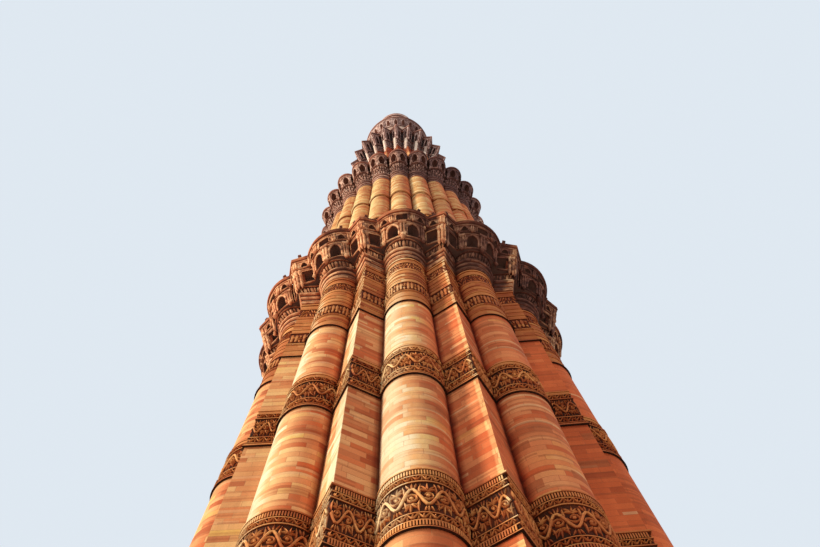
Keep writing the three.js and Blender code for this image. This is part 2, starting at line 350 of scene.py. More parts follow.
# Painted shade where raised carving meets its ground.
FOOT_SHADE = 0.7


def ribbon(path, width, height, section=BOLD):
    """A raised strip along a flat path, closed at its ends."""
    path = np.asarray(path, float)
    along = np.gradient(path, axis=0)
    along /= np.linalg.norm(along, axis=1, keepdims=True)
    right = np.stack([along[:, 1], -along[:, 0]], 1)
    width = np.broadcast_to(width, len(path))
    height = np.broadcast_to(height, len(path))
    across, rise = np.array(section).T
    flat = path[:, None] + right[:, None] * (across[:, None] * width[:, None, None])
    out = rise * height[:, None]
    points = np.concatenate([flat, out[..., None]], 2).reshape(-1, 3)
    count = len(section)
    ends = np.array([np.arange(count)[::-1], np.arange(count) + (len(path) - 1) * count])
    hollow = np.tile(np.where(rise > 0, 0, FOOT_SHADE), len(path))
    return Tile(points, [grid_faces(len(path), count), ends], hollow)


def curve(points, steps):
    """A smooth flat path through a run of control points, as a Bezier curve of any degree."""
    t = np.linspace(0, 1, steps)[:, None]
    degree = len(points) - 1
    weights = [math.comb(degree, i) * t ** i * (1 - t) ** (degree - i) for i in range(len(points))]
    return sum(weight * np.array(point) for weight, point in zip(weights, points))


def spiral(middle, radius, turns, steps=9, inner=0.5):
    """A path that starts on the left and winds inwards."""
    share = np.linspace(0, 1, steps)
    angle = math.pi + turns * 2 * math.pi * share
    reach = radius * (1 - (1 - inner) * share)
    return np.stack([middle[0] + reach * np.cos(angle), middle[1] + reach * np.sin(angle)], 1)


def leaf(base, tip, width, height, bend=0.15, steps=5, section=BOLD):
    """A pointed leaf, widest below its middle."""
    base, tip = np.array(base, float), np.array(tip, float)
    run = tip - base
    side = np.array([run[1], -run[0]])
    path = curve([base, (base + tip) / 2 + bend * side, tip], steps)
    swell = np.sin(math.pi * np.linspace(0, 1, steps) ** 0.75) * 0.92 + 0.08
    return ribbon(path, width * swell, height * (0.35 + 0.65 * swell), section)


def box(left, right, low, high, back, front, closed=False):
    """A plain block, open at the back unless it stands free."""
    corners = [(left, low), (right, low), (right, high), (left, high)]
    points = [(*c, back) for c in corners] + [(*c, front) for c in corners]
    sides = [(i, (i + 1) % 4, 4 + (i + 1) % 4, 4 + i) for i in range(4)]
    ends = [(4, 5, 6, 7), (3, 2, 1, 0)] if closed else [(4, 5, 6, 7)]
    return Tile(points, [np.array(sides + ends)], [FOOT_SHADE] * 4 + [0] * 4)


def bead(middle, radius, height, sides=6):
    """A low round boss."""
    turn = np.arange(sides) * 2 * math.pi / sides
    points = [np.stack([middle[0] + r * np.cos(turn), middle[1] + r * np.sin(turn), 0 * turn + z], 1)
              for r, z in ((radius, 0), (0.85 * radius, 0.7 * height), (0.4 * radius, height))]
    ring = np.arange(sides)
    after = (ring + 1) % sides
    quads = [np.stack([ring, after, after + sides, ring + sides], 1) + i * sides for i in range(2)]
    hollow = [FOOT_SHADE] * sides + [0] * 2 * sides
    return Tile(np.concatenate(points), [*quads, ring[None] + 2 * sides], hollow)


POINTED = [(-1, 0), (-0.8, 0.52), (-0.42, 0.84), (0, 1), (0.42, 0.84), (0.8, 0.52), (1, 0)]
SQUARE = [(-1, 0), (-1, 0.5), (-0.85, 1), (0, 1), (0.85, 1), (1, 0.5), (1, 0)]
STEPPED = [(-1, 0), (-0.62, 0.35), (-0.55, 0.7), (0, 1), (0.55, 0.7), (0.62, 0.35), (1, 0)]


def niche(width, height, opening, sill, spring, apex, depth, rim=0.05, arch=POINTED, foot=1):
    """A flat panel with a recess that narrows inwards, and a raised rim round it. The panel's width and the
    opening's are half widths, and the sill, the arch's spring and its apex are heights above the panel's
    foot."""
    rise = apex - spring
    front = [(-opening * foot, sill)] + [(x * opening, spring + y * rise) for x, y in arch]
    front += [(opening * foot, sill)]
    edge = [(-width, 0), (-width, spring), (-width, height), (-width / 2, height), (0, height),
            (width / 2, height), (width, height), (width, spring), (width, 0)]
    middle = np.array([0, sill + 0.42 * (apex - sill)])
    back = middle + (np.array(front) - middle) * np.array([0.6, 0.72])
    count = len(front)
    # Each ring's last number is its painted shade: the recess darkens to full shade at its back.
    rings = [(edge, 0, 0.15), (front, 0, 0.2), (front, -0.02, 0.9), (back, -depth, 1)]
    points = np.concatenate([np.column_stack([np.array(r, float), np.full(count, z)]) for r, z, _ in rings])
    points = np.vstack([points, [*middle, -depth]])
    hollow = np.append(np.repeat([h for _, _, h in rings], count), 1)
    i = np.arange(count)
    j = (i + 1) % count
    plate = np.stack([count + i[:-1], count + j[:-1], j[:-1], i[:-1]], 1)
    below = np.array([[count - 1, 2 * count - 1, count, 0]])[:, ::-1]
    jambs = [np.stack([k + i, k + count + i, k + count + j, k + j], 1) for k in (count, 2 * count)]
    fan = np.stack([np.full(count, 4 * count), 3 * count + j, 3 * count + i], 1)
    return joined([Tile(points, [plate, below, *jambs, fan], hollow), ribbon(front, rim, rim * 0.8)])


# Ornament in rows. Each kind gives its tiles and the spacing that they repeat at.


def flower(middle, radius, height):
    """A bead with petals round it."""
    rays = [np.array([math.cos(a), math.sin(a)]) for a in np.arange(5) * 2 * math.pi / 5 + 0.3]
    heart = np.array(middle)
    petals = [leaf(heart + 0.4 * radius * ray, heart + radius * ray, 0.7 * radius, height, 0, 4, FINE)
              for ray in rays]
    return joined([bead(middle, 0.42 * radius, 1.1 * height), *petals])


def rinceau(width, height, relief, seed):
    """One wave of a leafy stem. In each bend a tendril curls round a bud, with a palmette beyond it."""
    random = np.random.RandomState(seed)

    def jitter(size):
        return size * (2 * random.rand() - 1)

    def at(x, y):
        return np.array([x * width, y * height])

    def sprout(foot, tip, girth, rise, bend):
        parts.append(leaf(foot, tip, stroke * girth, relief * rise, bend, 4, FINE))

    stroke = 0.066 * height
    x = np.linspace(-0.5, 0.5, 11)
    rise = 0.26 * np.sin(2 * math.pi * x)
    parts = [ribbon(np.stack([x * width, height * (0.5 + rise)], 1), stroke, relief)]
    for bend, up in ((-0.25, 1), (0.25, -1)):
        heart = at(bend + jitter(0.03), 0.5 + up * (0.04 + jitter(0.02)))
        curl = min(0.19 * height, (0.22 + jitter(0.015)) * width)
        path = spiral(heart, curl, up * (0.95 + jitter(0.12)))
        parts.append(ribbon(path, stroke * np.linspace(1.1, 0.85, len(path)), relief * 0.9, FINE))
        parts.append(bead(heart, curl * 0.34, relief, 5))
        for side in (-1, 1):
            foot = at(bend + side * 0.25, 0.5 + up * 0.08)
            tip = at(bend + side * (0.22 + jitter(0.03)), 0.5 + up * (0.44 + jitter(0.03)))
            sprout(foot, tip, 1.2, 0.85, 0.12 * side)
        base = heart + np.array([jitter(0.03) * width, up * curl * 1.12])
        reach = abs((0.5 + up * 0.47) * height - base[1])
        for turn, share in ((-70, 0.62), (-36, 0.85), (0, 1), (36, 0.85), (70, 0.62)):
            angle = math.radians(turn + jitter(8))
            tip = base + reach * (share + jitter(0.08)) * np.array([math.sin(angle), up * math.cos(angle)])
            tip[1] = np.clip(tip[1], 0.02 * height, 0.98 * height)
            sprout(base, tip, 1.15, 0.9, -up * turn / 350)
        for side in (-1, 1):
            foot = at(bend + side * 0.07, 0.5 - up * 0.31)
            tip = at(bend + side * (0.17 + jitter(0.04)), 0.5 - up * 0.46)
            sprout(foot, tip, 1, 0.8, 0.1 * side)
        sprout(at(bend, 0.5 - up * 0.3), at(bend + jitter(0.02), 0.5 - up * 0.48), 1, 0.8, 0)
    return joined(parts)


def vine(height, relief):
    """One wave of a thin vine with a leaf in each bend."""
    width = 1.1 * height
    x = np.linspace(-0.5, 0.5, 7)
    wave = np.stack([x * width, height * (0.5 + 0.3 * np.sin(2 * math.pi * x))], 1)
    parts = [ribbon(wave, 0.2 * height, relief, FINE)]
    for side in (-1, 1):
        foot = (side * 0.17 * width, (0.5 - side * 0.4) * height)
        tip = (side * 0.3 * width, (0.5 + side * 0.14) * height)
        parts.append(leaf(foot, tip, 0.3 * height, relief, 0.2, 4, FINE))
    return [joined(parts)], width


def dentils(height, relief):
    """Small upright blocks."""
    pitch = 0.052
    return [box(-0.27 * pitch, 0.27 * pitch, 0.08 * height, 0.92 * height, 0, 0.8 * relief)], pitch


def scrolls(height, relief, width=None):
    """Six stretches of close leafy scroll, so that the row seldom repeats."""
    width = width or 0.62 * height
    return [rinceau(width, height, relief, seed) for seed in range(6)], width


def wide_scrolls(height, relief):
    """The same scroll more loosely, for rows that are low or faint."""
    return scrolls(height, relief, max(1.1 * height, 0.62))


def reeds(height, relief):
    """Close upright reeds, leaf-tipped and uneven, with a flower in place of every third."""
    tiles, width = [], 0.62
    for seed in (1, 2, 3):
        random = np.random.RandomState(seed)
        parts = []
        for i, x in enumerate(np.linspace(-0.42, 0.42, 6) * width):
            lean = 0.04 * (random.rand() - 0.5)
            foot, top = (0.06 + 0.1 * random.rand()) * height, (0.8 + 0.16 * random.rand()) * height
            if i % 3 == 2:
                parts.append(flower((x, 0.5 * height), 0.05, relief))
                parts.append(leaf((x, 0.62 * height), (x + lean, top), 0.07, relief))
                parts.append(leaf((x, 0.38 * height), (x - lean, foot), 0.07, relief))
                continue
            path = curve([(x, foot), (x + lean, 0.5 * height), (x, top)], 6)
            parts.append(ribbon(path, 0.072 * np.array([0.8, 1, 0.8, 1.2, 1.3, 0.3]), relief))
            twig = np.array([x + 0.052, (0.2 + 0.5 * random.rand()) * height])
            parts.append(leaf(twig, twig + [lean, 0.28 * height], 0.06, relief * 0.9, 0, 4, FINE))
        # The reeds get at least a quarter of full painted shade and grime.
        tiles.append(joined(parts).shaded_at_least(0.25))
    return tiles, width


def sprigs(height, relief):
    """Leaning leaves and buds, close together and worn, with small pockets between them."""
    tiles, width = [], 0.7
    for seed in (11, 12, 13):
        random = np.random.RandomState(seed)
        parts = []
        for x in np.linspace(-0.44, 0.44, 7) * width:
            lean = 0.1 * (random.rand() - 0.5)
            middle = 0.5 + 0.16 * (random.rand() - 0.5)
            for low, high in ((0.03, middle - 0.05), (middle + 0.05, 0.97)):
                foot, tip = (x - lean, low * height), (x + lean, high * height)
                parts.append(leaf(foot, tip, 0.075, relief, 0.5 * (random.rand() - 0.5), 5, FINE))
            parts.append(bead((x + 0.05, middle * height), 0.022, relief, 5))
        tiles.append(joined(parts))
    return tiles, width


def leaves(height, relief):
    """Small leaves that lean to and fro."""
    parts = []
    for side in (-1, 1):
        foot, tip = (side * 0.02, 0.08 * height), (-side * 0.03, 0.92 * height)
        parts.append(leaf(foot, tip, 0.075, relief, side * 0.25, 5, FINE).moved(side * 0.04))
    return [joined(parts)], 0.16


def beads(height, relief):
    return [bead((0, height / 2), 0.42 * height, relief)], 1.15 * height


def drops(height, relief):
    """Hanging drops in two uneven tiers, with deep pockets between them."""
    tiles, width = [], 0.26
    side, top = width / 2, 0.98 * height
    for low, swing in ((0.06, 0.02), (0.2, -0.02), (0, 0)):
        big = leaf((0, top), (swing, low * height), 0.13, relief, 0)
        small = leaf((side, top), (side - swing, 0.45 * height), 0.09, relief * 0.8, 0, 4)
        knob = bead((swing, (low + 0.3) * height), 0.05, relief * 1.3)
        stud = bead((side, (0.16 + low) * height), 0.035, relief * 0.7)
        tiles.append(joined([big, small, knob, stud]))
    return tiles, width


KINDS = (dentils, vine, scrolls, wide_scrolls, reeds, sprigs, beads, drops)
ORNAMENT = {kind.__name__: kind for kind in KINDS}

# The slots of the finishes that are variants of another one
SLOTS = {
    "upper_gallery_stone": "gallery_stone",
    "rib_stone": "dusky_stone",
    "pale_upper_stone": "pale_stone",
}
SHARP = math.radians(35)
DOOR_EDGE = 0.001


def slot_of(material):
    """The material slot that a finish belongs to."""
    name = material.name.split(".")[0]
    return SLOTS.get(name, name)


def placed(name, data):
    """A new object in the scene."""
    new = bpy.data.objects.new(name, data)
    bpy.context.scene.collection.objects.link(new)
    return new


def void_ring(level, angles):
    """The eight-sided space inside, at the angles of an outer ring."""
    radius = np.full(len(angles), np.inf)
    for side in range(8):
        half = math.radians(21.75 if side % 2 == 0 else 23.25)
        off = np.cos(angles - FRONT - side * math.pi / 4)
        radius = np.minimum(radius, inside_corner(level) * math.cos(half) / np.maximum(off, 1e-3))
    return np.column_stack([radius * np.cos(angles), radius * np.sin(angles)])


class Piece:
    """Gathers the faces of one object."""

    def __init__(self):
        self.points, self.stones, self.pales, self.hollows, self.faces, self.count = [], [], [], [], [], 0

    def add(self, points, faces, stone, pale, hollow):
        total = len(points)
        self.points.append(points)
        self.stones.append(stone)
        self.pales.append(np.broadcast_to(pale, total))
        self.hollows.append(np.broadcast_to(hollow, total))
        self.faces.extend(f + self.count for f in faces)
        self.count += total

    def sweep(self, plan, rows):
        """Joins rings of points from row to row. A row has its ring, its level and how much painted shade
        and grime it gets.
        """
        middle = rows[len(rows) // 2][0]
        along = np.concatenate([[0], np.cumsum(np.linalg.norm(np.diff(middle, axis=0), axis=1))])
        columns = len(middle)
        levels = [level for _, level, _ in rows]
        radii = [np.hypot(*ring[0]) for ring, _, _ in rows]
        climb = np.concatenate([[0], np.cumsum(np.hypot(np.diff(levels), np.diff(radii)))]) + levels[0]
        points = [np.column_stack([ring, np.full(columns, level)]) for ring, level, _ in rows]
        stone = np.column_stack([np.tile(along, len(rows)), np.repeat(climb, columns)])
        pale, darkening = plan.pale_and_groove_shade()
        hollow = np.maximum(np.repeat([h for _, _, h in rows], columns), np.tile(darkening, len(rows)))
        pale = np.tile(pale, len(rows)) * bleached(np.repeat(levels, columns))
        self.add(np.concatenate(points), [grid_faces(len(rows), columns)], stone, pale, hollow)

    def skin(self, plan, wall, profile):
        """A face round the tower."""
        self.sweep(plan, plan.rows(wall, profile))

    def course(self, plan, wall, profile):
        """A whole course of the wall, from its carved face to the eight-sided space inside."""
        outer = plan.rows(wall, profile)
        low, high = outer[0][1], outer[-1][1]
        angles = np.arctan2(outer[0][0][:, 1], outer[0][0][:, 0])
        inner = [(void_ring(level, angles), level, 0) for level in (low, high, low)]
        self.sweep(plan, [inner[0], *outer, *inner[1:]])

    def drum(self, plan, wall, profile):
        """A solid drum, closed by flat faces at its foot and its head."""
        outer = plan.rows(wall, profile)
        ends = [(outer[i][0] * 0.02, outer[i][1], 0) for i in (0, -1)]
        self.sweep(plan, [ends[0], *outer, ends[1]])

    def lay(self, face, wall, tile, share, level, out=0):
        """Lays a tile on a face of the tower, with its foot at a level."""
        across, up, rise = tile.points.T
        shares = share + across / face.width(wall(level + up.mean()))
        points = face.place(shares, level + up, out + rise, wall)
        stone = np.column_stack([across + 3.1 * face.flute + 7.7 * share, level + up])
        over = np.clip(shares, 0, 1)
        if face.side:
            over = (over + (face.side > 0)) / 2
        self.add(points, tile.faces, stone, face.plan.pale(face.flute, over) * bleached(level), tile.hollow)

    def row(self, plan, wall, tiles, spacing, level, out=0, margin=0.03):
        """Repeats tiles along every face at about a spacing, stretched to fill it."""
        strips = {}
        for number, face in enumerate(plan.faces()):
            width = face.width(wall(level)) - 2 * margin
            count = max(1, round(width / spacing))
            key = (number % len(tiles), face.side == 0)
            if key not in strips:
                step = width / count
                strips[key] = joined(tiles[(number + i) % len(tiles)].stretched(step / spacing)
                                     .moved((i + 0.5) * step - width / 2) for i in range(count))
            self.lay(face, wall, strips[key], 0.5, level, out)

    def clear(self, gap, sill):
        """Leaves out what stands in a doorway's gap on the far side."""
        width, height = gap
        points = np.concatenate(self.points)
        inside = (np.abs(points[:, 0]) < width / 2) & (points[:, 1] > 0)
        inside &= (points[:, 2] > sill + DOOR_EDGE) & (points[:, 2] < sill + height - DOOR_EDGE)
        self.faces = [f[~inside[f].any(axis=1)] for f in self.faces]
        self.faces = [f for f in self.faces if len(f)]

    def make(self, name, material, *replaced):
        points = np.concatenate(self.points) * SCALE
        corners = np.concatenate([f.ravel() for f in self.faces])
        sizes = np.concatenate([np.full(len(f), f.shape[1]) for f in self.faces])
        mesh = bpy.data.meshes.new(name)
        mesh.vertices.add(len(points))
        mesh.vertices.foreach_set("co", points.ravel())
        mesh.loops.add(len(corners))
        mesh.loops.foreach_set("vertex_index", corners)
        mesh.polygons.add(len(sizes))
        mesh.polygons.foreach_set("loop_start", np.concatenate([[0], np.cumsum(sizes)[:-1]]))
        layer = mesh.uv_layers.new(name="stone")
        layer.data.foreach_set("uv", np.concatenate(self.stones)[corners].ravel())
        for label, values in (("pale", self.pales), ("hollow", self.hollows)):
            attribute = mesh.attributes.new(label, "FLOAT", "POINT")
            attribute.data.foreach_set("value", np.concatenate(values))
        mesh.update(calc_edges=True)
        mesh.validate()
        mesh.shade_smooth()
        mesh.set_sharp_from_angle(angle=SHARP)
        mesh.materials.append(material)
        piece = placed(name, mesh)
        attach(piece, "root")
        slot_of(material)
        if replaced:
            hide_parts(*replaced)


# Materials. A tone has its place on the scale and its colour.

# The pale share mixes each stone's paler sets in: partly the stone's own paler courses, partly painted
# sunlight on the left of the flutes. Each gallery stone and the ribs have a sunlit set, painted sunlight,
# over a darker set that stands for the shaded side.
RED_TONES = ((0, 0.3, 0.054, 0.017), (0.22, 0.47, 0.087, 0.026), (0.5, 0.61, 0.118, 0.034),
             (0.78, 0.7, 0.148, 0.043), (0.93, 0.73, 0.19, 0.06), (1, 0.74, 0.3, 0.12))
PALE_TONES = ((0, 0.52, 0.17, 0.07), (0.2, 0.65, 0.265, 0.1), (0.42, 0.74, 0.36, 0.14),
              (0.68, 0.79, 0.46, 0.19), (0.86, 0.76, 0.42, 0.11), (1, 0.82, 0.58, 0.3))
CREAM_TONES = ((0, 0.62, 0.36, 0.18), (0.25, 0.7, 0.47, 0.26), (0.5, 0.76, 0.57, 0.34),
               (0.78, 0.8, 0.65, 0.42), (0.9, 0.78, 0.55, 0.24), (1, 0.84, 0.73, 0.52))
YELLOW_TONES = ((0, 0.42, 0.15, 0.052), (0.3, 0.59, 0.28, 0.095), (0.65, 0.67, 0.38, 0.14),
                (1, 0.76, 0.49, 0.22))
PALE_YELLOW_TONES = ((0, 0.56, 0.32, 0.12), (0.35, 0.68, 0.44, 0.18), (0.7, 0.74, 0.53, 0.24),
                     (1, 0.8, 0.64, 0.37))
PALE_UPPER_TONES = ((0, 0.34, 0.18, 0.13), (0.4, 0.48, 0.3, 0.22), (1, 0.64, 0.48, 0.38))
CARVED_TONES = ((0, 0.3, 0.062, 0.02), (0.3, 0.48, 0.12, 0.036), (0.6, 0.62, 0.2, 0.056),
                (1, 0.76, 0.36, 0.1))
GOLD_TONES = ((0, 0.44, 0.13, 0.04), (0.4, 0.68, 0.26, 0.075), (1, 0.86, 0.45, 0.16))
PALE_GOLD_TONES = ((0, 0.56, 0.27, 0.1), (0.4, 0.8, 0.47, 0.2), (1, 0.94, 0.72, 0.41))
GALLERY_TONES = ((0, 0.045, 0.018, 0.013), (0.3, 0.09, 0.033, 0.023), (0.65, 0.17, 0.06, 0.038),
                 (1, 0.29, 0.11, 0.068))
SUNLIT_GALLERY_TONES = ((0, 0.42, 0.13, 0.06), (0.4, 0.78, 0.32, 0.14), (1, 1, 0.62, 0.32))
UPPER_GALLERY_TONES = ((0, 0.075, 0.036, 0.034), (0.35, 0.14, 0.066, 0.058), (0.7, 0.23, 0.108, 0.09),
                       (1, 0.38, 0.2, 0.16))
SUNLIT_UPPER_GALLERY_TONES = ((0, 0.28, 0.12, 0.08), (0.5, 0.54, 0.28, 0.19), (1, 0.84, 0.56, 0.42))
DUSKY_TONES = ((0, 0.1, 0.052, 0.046), (0.35, 0.2, 0.108, 0.094), (0.7, 0.3, 0.17, 0.145),
               (1, 0.46, 0.3, 0.26))
SUNLIT_DUSKY_TONES = ((0, 0.36, 0.19, 0.15), (0.5, 0.6, 0.37, 0.3), (1, 0.9, 0.68, 0.58))
SUNLIT_RIB_TONES = ((0, 0.6, 0.38, 0.28), (0.5, 0.8, 0.58, 0.45), (1, 0.92, 0.74, 0.6))
# Painted shade with some grime: the tint that it darkens by, and the near black of the deepest shade in each
# stone.
SHADE_AND_GRIME_TINT = (0.42, 0.17, 0.1)
DEEP_SHADE = (0.026, 0.009, 0.004)
BROWN_DEEP_SHADE = (0.085, 0.036, 0.024)
GREY_DEEP_SHADE = (0.06, 0.036, 0.032)
STREAK = (0.72, 0.37, 0.17)
RED_PATCH = (0.43, 0.105, 0.035)
DARK_COURSE = (0.3, 0.07, 0.022)
JOINT = (0.17, 0.06, 0.03)
COURSE = 0.19
BLOCK = 0.85
MEAN_RADIUS = 5.6


class Nodes:
    """Adds and links the nodes of one material."""

    def __init__(self, name):
        self.material = bpy.data.materials.new(name)
        self.material.use_nodes = True
        self.tree = self.material.node_tree
        self.shader = self.tree.nodes["Principled BSDF"]

    def fill(self, node, inputs):
        """Links a socket to each input, or writes a value on it."""
        for key, value in inputs.items():
            place = node.inputs[key]
            if isinstance(value, bpy.types.NodeSocket):
                self.tree.links.new(value, place)
            else:
                place.default_value = (*value, 1) if place.type == "RGBA" else value

    def add(self, kind, inputs=(), **settings):
        node = self.tree.nodes.new(kind)
        for key, value in settings.items():
            setattr(node, key, value)
        self.fill(node, dict(inputs))
        return node

    def ramp(self, factor, stops):
        """A scale of colours. A stop has its place and its colour, or one value for a grey."""
        node = self.add("ShaderNodeValToRGB", {"Fac": factor})
        for _ in range(len(stops) - 2):
            node.color_ramp.elements.new(0.5)
        for element, (place, *colour) in zip(node.color_ramp.elements, stops):
            element.position = place
            element.color = (*(colour * 3)[:3], 1)
        return node.outputs["Color"]

    def above(self, factor, low, high):
        """A mask that rises from none to full between two values."""
        return self.ramp(factor, ((0, 0), (low, 0), (high, 1), (1, 1)))

    def noise(self, place, scale, detail=5):
        inputs = {"Vector": place, "Scale": scale, "Detail": detail}
        return self.add("ShaderNodeTexNoise", inputs).outputs["Fac"]

    def maths(self, operation, *values):
        return self.add("ShaderNodeMath", dict(enumerate(values)), operation=operation).outputs[0]

    def times(self, one, two):
        return self.maths("MULTIPLY", one, two)

    def plus(self, one, two):
        return self.maths("ADD", one, two)

    def minus(self, one, two):
        return self.maths("SUBTRACT", one, two)

    def mix(self, factor, one, two, blend="MIX"):
        inputs = {0: factor, 6: one, 7: two}
        return self.add("ShaderNodeMix", inputs, data_type="RGBA", blend_type=blend).outputs[2]

    def blocks(self, place, width, height, joint=0, offset=0.43):
        """Stone blocks in courses: a random share for each block, and where the joints are."""
        inputs = {"Vector": place, "Color1": (0, 0, 0), "Color2": (1, 1, 1), "Mortar": (0.5, 0.5, 0.5),
                  "Scale": 1, "Mortar Size": joint, "Mortar Smooth": 0.2, "Bias": 0, "Brick Width": width,
                  "Row Height": height}
        node = self.add("ShaderNodeTexBrick", inputs, offset=offset, squash=0.72, squash_frequency=3)
        return node.outputs["Color"], node.outputs["Fac"]


def stone(name, tones, pale_tones=None, palest=None, mapped=True, joint=0.006, streaks=0.6, deep_shade=DEEP_SHADE,
          mottled=0):
    """Weathered sandstone in courses, with each course and each block its own tone. Hollows get painted
    shade with some grime.
    """
    n = Nodes(name)
    solid = n.add("ShaderNodeTexCoord").outputs["Object"]
    if mapped:
        place = n.add("ShaderNodeUVMap", uv_map="stone").outputs["UV"]
    else:
        parts = n.add("ShaderNodeSeparateXYZ", {"Vector": solid}).outputs
        around = n.times(n.maths("ARCTAN2", parts[1], parts[0]), MEAN_RADIUS)
        up = n.maths("DIVIDE", parts[2], SCALE)
        place = n.add("ShaderNodeCombineXYZ", {"X": around, "Y": up}).outputs[0]
    own, joints = n.blocks(place, BLOCK, COURSE, joint)
    long, _ = n.blocks(place, 7 * BLOCK, COURSE, 0, 0.31)
    drift = n.noise(solid, 1.3)
    grain = n.noise(solid, 85, 6)
    tone = n.plus(n.times(own, 0.34), n.times(long, 0.34))
    tone = n.minus(n.plus(tone, n.times(drift, 0.7)), 0.2)
    if mottled:
        tone = n.plus(tone, n.times(n.minus(n.noise(solid, 11), 0.5), mottled))
    colour = n.ramp(tone, tones)
    red = 1
    if pale_tones:
        # The pale share: partly the stone's own paler stones, partly painted sunlight on the sides that face
        # the light.
        share = n.add("ShaderNodeAttribute", attribute_name="pale").outputs["Fac"]
        uneven = n.times(n.minus(own, 0.5), 0.5)
        share = n.plus(share, n.times(uneven, n.above(share, 0, 0.25)))
        colour = n.mix(n.above(share, 0, 0.6), colour, n.ramp(tone, pale_tones))
        colour = n.mix(n.above(share, 0.74, 0.99), colour, n.ramp(tone, palest or pale_tones))
        red = n.minus(1, n.above(share, 0.2, 0.9))
    if streaks:
        thin, _ = n.blocks(place, 2.4 * BLOCK, COURSE / 2, 0, 0.37)
        colour = n.mix(n.times(n.above(thin, 0.93, 0.94), streaks), colour, STREAK)
        large, _ = n.blocks(place, 1.3 * BLOCK, COURSE * 1.5)
        patch = n.times(n.above(n.minus(1, large), 0.92, 0.94), 0.8)
        colour = n.mix(n.times(patch, red), colour, RED_PATCH)
        slim, _ = n.blocks(place, 3.1 * BLOCK, COURSE / 3, 0, 0.29)
        dark = n.times(n.above(slim, 0.84, 0.86), n.plus(n.times(red, 0.3), 0.1))
        colour = n.mix(dark, colour, DARK_COURSE)
    tall = n.add("ShaderNodeMapping", {"Vector": solid, "Scale": (2.2, 2.2, 0.22)}).outputs[0]
    stain = n.ramp(n.noise(tall, 1.6), ((0.3, 0.72, 0.66, 0.64), (0.55, 1), (1, 1)))
    colour = n.mix(0.6, colour, stain, "MULTIPLY")
    colour = n.mix(0.7, colour, n.ramp(grain, ((0.25, 0.78), (0.6, 1), (0.8, 1))), "MULTIPLY")
    colour = n.mix(n.times(joints, 0.3), colour, JOINT)
    # Painted shade with some grime, from each point's own amount: darker and redder, and near black where it
    # is deepest.
    hollow = n.add("ShaderNodeAttribute", attribute_name="hollow").outputs["Fac"]
    darkening = n.times(hollow, n.plus(n.times(n.noise(solid, 9, 4), 0.5), 0.75))
    colour = n.mix(1, colour, n.ramp(darkening, ((0, 1), (0.6, *SHADE_AND_GRIME_TINT), (1, *SHADE_AND_GRIME_TINT))), "MULTIPLY")
    colour = n.mix(n.above(darkening, 0.5, 1), colour, deep_shade)
    relief = n.plus(n.times(n.noise(solid, 22), 0.5), n.times(grain, 0.25))
    relief = n.minus(relief, n.times(joints, 0.8))
    relief = n.plus(relief, n.times(own, 0.25))
    bump = n.add("ShaderNodeBump", {"Strength": 0.55, "Distance": 0.012, "Height": relief})
    n.fill(n.shader, {"Base Color": colour, "Roughness": n.plus(n.times(grain, 0.25), 0.72),
                      "Specular IOR Level": 0.1, "Normal": bump.outputs["Normal"]})
    return n.material


CLOSE = {"joint": 0.003, "streaks": 0}
SANDSTONE = stone("sandstone", RED_TONES, PALE_TONES, CREAM_TONES)
PALE_STONE = stone("pale_stone", RED_TONES, YELLOW_TONES, PALE_YELLOW_TONES, streaks=0.3)
CARVED = stone("carved_stone", CARVED_TONES, GOLD_TONES, PALE_GOLD_TONES, **CLOSE)
GALLERY = stone("gallery_stone", GALLERY_TONES, SUNLIT_GALLERY_TONES, deep_shade=BROWN_DEEP_SHADE, mottled=1.7, **CLOSE)
UPPER_GALLERY = stone("upper_gallery_stone", UPPER_GALLERY_TONES, SUNLIT_UPPER_GALLERY_TONES,
                      deep_shade=BROWN_DEEP_SHADE, mottled=1.4, **CLOSE)
DUSKY = stone("dusky_stone", DUSKY_TONES, SUNLIT_DUSKY_TONES, deep_shade=GREY_DEEP_SHADE, mottled=0.8, **CLOSE)
RIB_STONE = stone("rib_stone", DUSKY_TONES, SUNLIT_RIB_TONES, deep_shade=GREY_DEEP_SHADE, **CLOSE)
PALE_UPPER = stone("pale_upper_stone", PALE_UPPER_TONES, joint=0.005, streaks=0)
SOLID_TONES = {"sandstone": RED_TONES, "carved_stone": CARVED_TONES, "gallery_stone": GALLERY_TONES,
               "pale_stone": YELLOW_TONES, "dusky_stone": DUSKY_TONES}
SOLIDS = {slot: stone(slot + "_solid", tones, mapped=False) for slot, tones in SOLID_TONES.items()}
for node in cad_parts.values():
    slot = slot_of(node.data.materials[0])
    node.data.materials.clear()
    node.data.materials.append(SOLIDS[slot])

# Carved bands. Their rows run from the foot up, each with its height before the band is filled.

SKIN = 0.012
GROUND = 0.004
UNDERCUT = 0.066
RAISED = {"edge": 0.05, "line": 0.034, "round": 0.06, "lip": 0.03}
# How dark a plain and a worn row are at their foot and at their head.
PLAIN_ROW_DARKNESS = {"plain": (0.3, 0.12), "worn": (0.4, 0.22)}
GROUND_GAP = (1.25, 2.45)
UPPER_GAP = (0.9, 1.95)
FIFTH_GAP = (0.66, 1.75)


def filled(text, low, high):
    """The kind, foot and head of each row, once the rows are stretched to fill a space."""
    kinds, heights = text.split()[::2], [float(height) for height in text.split()[1::2]]
    fill = (high - low) / sum(heights)
    for kind, height in zip(kinds, heights):
        yield kind, low, low + height * fill
        low += height * fill


